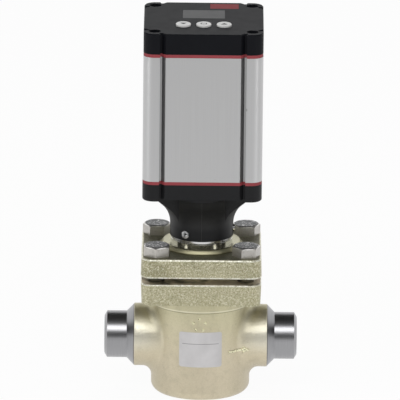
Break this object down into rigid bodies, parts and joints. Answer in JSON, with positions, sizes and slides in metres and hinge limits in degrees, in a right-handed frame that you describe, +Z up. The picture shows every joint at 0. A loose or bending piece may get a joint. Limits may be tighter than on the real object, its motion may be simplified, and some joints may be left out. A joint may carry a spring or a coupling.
{
  "type": "motor-operated valve",
  "caption": "Globe valve with butt-weld ends and a bolted bonnet, opened and closed by a stepping-motor actuator through a sealed magnetic coupling.",
  "frame": {"origin": "centre of the body's flat underside, on the valve's axis", "axes": "+Z up along the valve's axis, X along the pipe with the outlet at +X, the front with the label and keys towards -Y"},
  "size_m": [0.1382, 0.09, 0.2765],
  "materials": {
    "zinc_steel": "cast steel with a yellow zinc coat; bare turned steel on cones and weld ends",
    "bolt_steel": "matte steel",
    "polished_steel": "turned and polished steel",
    "inner_steel": "turned steel",
    "bronze": "bearing bronze",
    "magnet_grey": "sintered magnets",
    "aluminium": "extruded, fine matte anodised",
    "black_housing": "smooth black, half gloss",
    "black_cap": "smooth black, half gloss, greyer on top",
    "red_seal": "red seal",
    "dark_rubber": "black seal",
    "packing_white": "white sealing plastic",
    "label_white": "printed film, bare",
    "plate_red": "plain red plate",
    "display_grey": "smoked display window",
    "key_white": "white key",
    "board_green": "circuit board",
    "motor_black": "black coated motor and parts",
    "connector_metal": "nickel-plated brass"
  },
  "bodies": {
    "valve": {"base_screws": "bolt_steel", "board_capacitors": "motor_black", "board_spacers": "bronze", "body_label": "label_white", "bonnet": "zinc_steel", "bonnet_bolts": "bolt_steel", "bonnet_gasket": "dark_rubber", "cap_screws": "bolt_steel", "control_connector": "connector_metal", "display_board": "board_green", "display_module": "black_housing", "display_window": "display_grey", "drive_bearing": "bolt_steel", "grooved_housing": "aluminium", "guide_bush": "bronze", "key_switches": "black_housing", "lower_housing": "black_housing", "lower_seal": "red_seal", "magnet_sleeve": "polished_steel", "main_board": "board_green", "motor_screws": "bolt_steel", "seat_ring": "packing_white", "set_screws": "bolt_steel", "stem_adapter": "polished_steel", "stem_o_ring": "dark_rubber", "stem_packing": "packing_white", "stepper_motor": "motor_black", "supply_connector": "connector_metal", "thrust_washer": "bronze", "top_cap": "black_cap", "top_plate": "plate_red", "upper_seal": "red_seal", "valve_body": "zinc_steel", "valve_cage": "inner_steel"},
    "drive": {"drive_cup": "inner_steel", "drive_magnets": "magnet_grey", "motor_shaft": "bolt_steel"},
    "rotor": {"rotor_nut": "bronze", "rotor_magnets": "magnet_grey"},
    "stem": {"spindle": "polished_steel", "valve_cone": "inner_steel"},
    "down_key": {"key_down": "key_white"},
    "enter_key": {"key_enter": "key_white"},
    "up_key": {"key_up": "key_white"}
  },
  "joints": [
    {"name": "drive_spin", "type": "hinge", "parent": "valve", "child": "drive", "pos_m": [0, 0, 0.14], "axis": [0, 0, 1], "range_deg": [0, 1080]},
    {"name": "rotor_spin", "type": "hinge", "parent": "valve", "child": "rotor", "pos_m": [0, 0, 0.13], "axis": [0, 0, 1], "range_deg": [0, 1080]},
    {"name": "stem_lift", "type": "slide", "parent": "valve", "child": "stem", "axis": [0, 0, 1], "range_m": [0, 0.006]},
    {"name": "down_key_press", "type": "slide", "parent": "valve", "child": "down_key", "axis": [0, 0, -1], "range_m": [0, 0.001], "stiffness_N_per_m": 1500},
    {"name": "enter_key_press", "type": "slide", "parent": "valve", "child": "enter_key", "axis": [0, 0, -1], "range_m": [0, 0.001], "stiffness_N_per_m": 1500},
    {"name": "up_key_press", "type": "slide", "parent": "valve", "child": "up_key", "axis": [0, 0, -1], "range_m": [0, 0.001], "stiffness_N_per_m": 1500}
  ],
  "couplings": [
    {"joint": "rotor_spin", "follows": "drive_spin", "ratio": 1},
    {"joint": "stem_lift", "follows": "drive_spin", "m_per_rad": 0.00031831}
  ]
}
